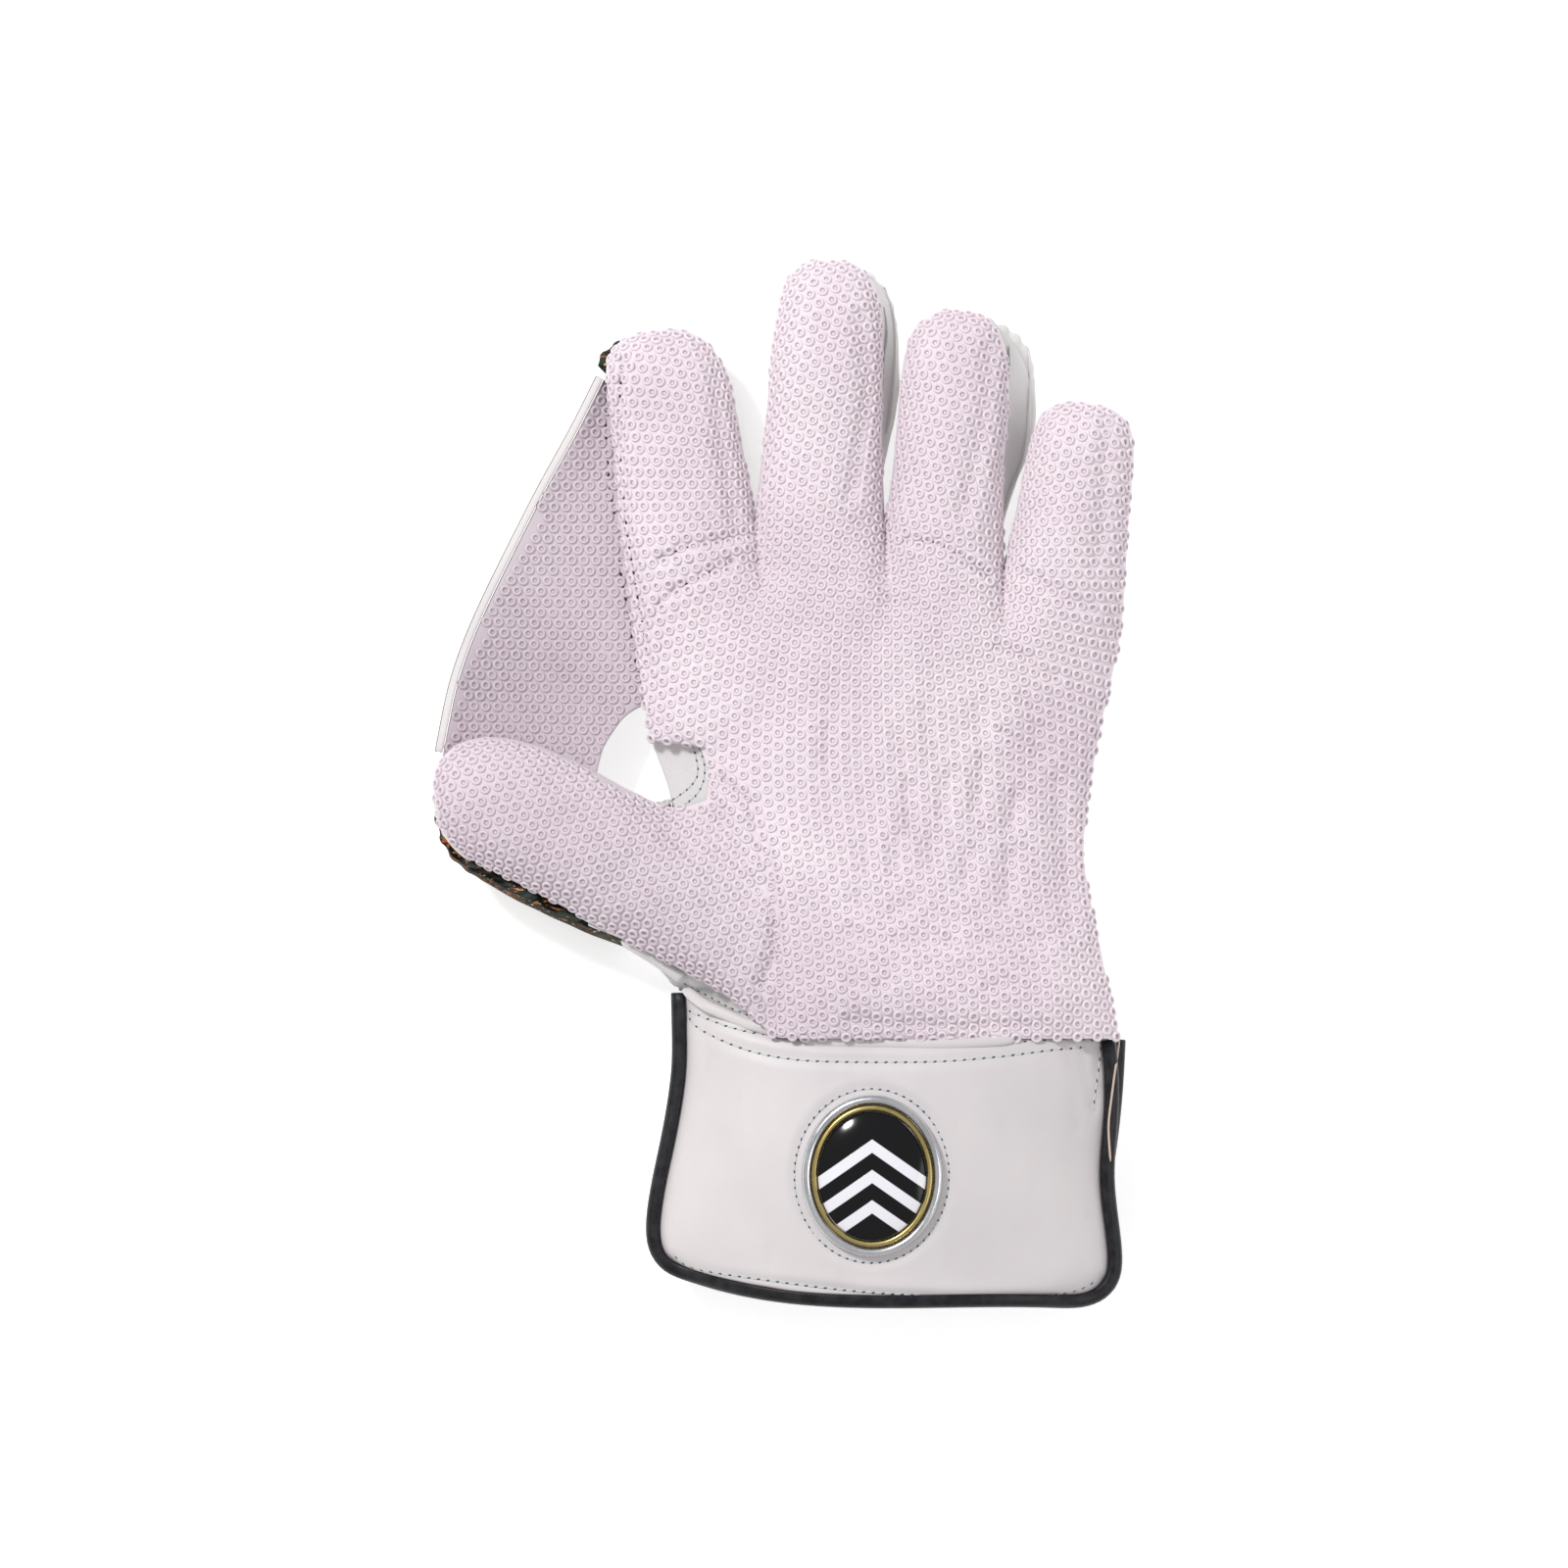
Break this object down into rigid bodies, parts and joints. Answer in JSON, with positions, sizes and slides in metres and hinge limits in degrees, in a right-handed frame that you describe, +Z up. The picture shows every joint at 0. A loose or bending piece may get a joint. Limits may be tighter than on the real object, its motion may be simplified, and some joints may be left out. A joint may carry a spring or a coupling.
{
  "type": "wicketkeeping glove",
  "caption": "Left-hand glove with a pimpled rubber facing, a web between index and thumb, and an open padded two-flap cuff, lying palm up.",
  "frame": {"origin": "under the middle of the glove's bounding box, on the surface that it lies on", "axes": "+Z up out of the palm, +Y from the cuff to the fingertips, -X towards the thumb"},
  "size_m": [0.221, 0.3298, 0.0516],
  "materials": {
    "rubber_facing": "pimpled, matt",
    "leather": "smooth, satin",
    "suede": "rough, matt",
    "printed_leather": "printed in dark mottled colours, satin",
    "black_binding": "satin",
    "silver_rim": "polished",
    "gold_rim": "satin",
    "dome": "gloss"
  },
  "bodies": {
    "root": {"palm_facing": "rubber_facing", "web_panel": "rubber_facing", "hand_back": "leather", "little_back": "leather", "middle_back": "leather", "ring_back": "leather", "index_gusset_right": "leather", "middle_gusset_left": "leather", "middle_gusset_right": "leather", "ring_gusset_left": "leather", "ring_gusset_right": "leather", "little_gusset_left": "leather", "cuff_front": "leather", "cuff_back": "leather", "web_binding": "leather", "crotch_patch": "suede", "wrist_gusset": "suede", "index_back": "printed_leather", "thumb_back": "printed_leather", "cuff_front_binding": "black_binding", "cuff_back_binding": "black_binding", "badge_rim": "silver_rim", "badge_gold_rim": "gold_rim", "badge_dome": "dome"}
  },
  "joints": []
}
